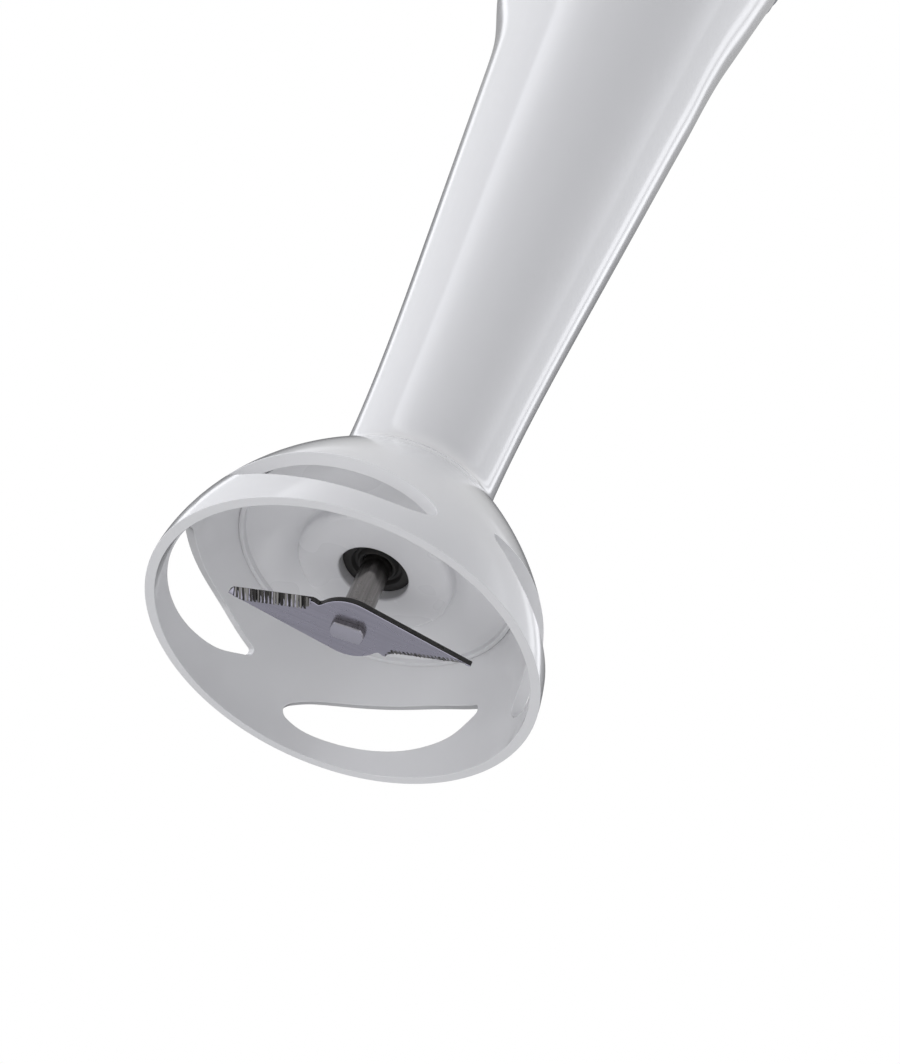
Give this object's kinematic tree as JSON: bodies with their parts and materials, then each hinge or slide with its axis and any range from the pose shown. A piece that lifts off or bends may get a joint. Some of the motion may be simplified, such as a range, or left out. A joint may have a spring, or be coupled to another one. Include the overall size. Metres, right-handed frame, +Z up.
{
  "type": "immersion blender",
  "caption": "Upright stick blender: slotted bell guard with a winged blade on a flared plastic wand that twists into a motor handle with push buttons.",
  "frame": {"origin": "centre of the bell's rim plane, on the blade shaft's axis", "axes": "+Z up along the blade shaft; the buttons face -Y"},
  "size_m": [0.066, 0.0661, 0.3896],
  "materials": {
    "shell_white": "glossy moulded",
    "insert_white": "satin moulded",
    "grey_trim": "fine matte texture",
    "button_grey": "soft touch",
    "blade_steel": "brushed, ground edges",
    "shaft_steel": "turned",
    "seal_rubber": "matte",
    "bush_bronze": "sintered",
    "screw_steel": "zinc plated",
    "coupling_nylon": "moulded nylon",
    "board_green": "circuit board",
    "component_black": "moulded",
    "spring_steel": "drawn wire",
    "core_steel": "laminated steel",
    "copper": "copper",
    "carbon": "pressed carbon",
    "brass": "stamped",
    "fan_white": "moulded"
  },
  "bodies": {
    "handle": {"lock_collar": "grey_trim", "front_housing": "shell_white", "rear_housing": "shell_white", "housing_screws": "screw_steel", "top_cap": "shell_white", "cord_inlet": "grey_trim", "cord_clamp": "component_black", "clamp_screws": "screw_steel", "button_bezel": "grey_trim", "low_spring": "spring_steel", "high_spring": "spring_steel", "low_switch": "component_black", "high_switch": "component_black", "circuit_board": "board_green", "capacitor": "component_black", "stator_core": "core_steel", "field_coils": "copper", "lower_bracket": "core_steel", "upper_bracket": "core_steel", "carbon_brushes": "carbon", "brush_holders": "brass", "brush_springs": "spring_steel", "lower_bearing": "screw_steel", "upper_bearing": "screw_steel", "lower_motor_mount": "seal_rubber", "upper_motor_mount": "seal_rubber"},
    "wand": {"wand_shell": "shell_white", "bell_insert": "insert_white", "shaft_seal": "seal_rubber", "lower_bush": "bush_bronze", "upper_bush": "bush_bronze", "thrust_washer": "screw_steel", "bearing_carrier": "component_black", "collar_screws": "screw_steel", "wand_collar": "grey_trim"},
    "blade_rotor": {"blade_shaft": "shaft_steel", "retaining_clip": "spring_steel", "blade": "blade_steel", "driven_coupling": "coupling_nylon"},
    "motor_rotor": {"motor_shaft": "shaft_steel", "drive_coupling": "coupling_nylon", "cooling_fan": "fan_white", "armature_core": "core_steel", "armature_windings": "copper", "commutator": "copper"},
    "low_button": {"low_button": "button_grey"},
    "high_button": {"high_button": "button_grey"}
  },
  "joints": [
    {"name": "wand_twist", "type": "hinge", "parent": "handle", "child": "wand", "pos_m": [0, 0, 0.248], "axis": [0, 0, 1], "range_deg": [-30, 0]},
    {"name": "motor_spin", "type": "hinge", "parent": "handle", "child": "motor_rotor", "pos_m": [0, 0, 0.29], "axis": [0, 0, 1], "continuous": true},
    {"name": "blade_spin", "type": "hinge", "parent": "wand", "child": "blade_rotor", "pos_m": [0, 0, 0.03], "axis": [0, 0, 1], "continuous": true},
    {"name": "low_button_press", "type": "slide", "parent": "handle", "child": "low_button", "axis": [0, 1, 0], "range_m": [0, 0.0025], "stiffness_N_per_m": 600, "springref_m": -0.002, "deforming": ["low_spring"]},
    {"name": "high_button_press", "type": "slide", "parent": "handle", "child": "high_button", "axis": [0, 1, 0], "range_m": [0, 0.0025], "stiffness_N_per_m": 600, "springref_m": -0.002, "deforming": ["high_spring"]}
  ],
  "couplings": [
    {"joint": "blade_spin", "follows": "motor_spin", "ratio": 1}
  ]
}
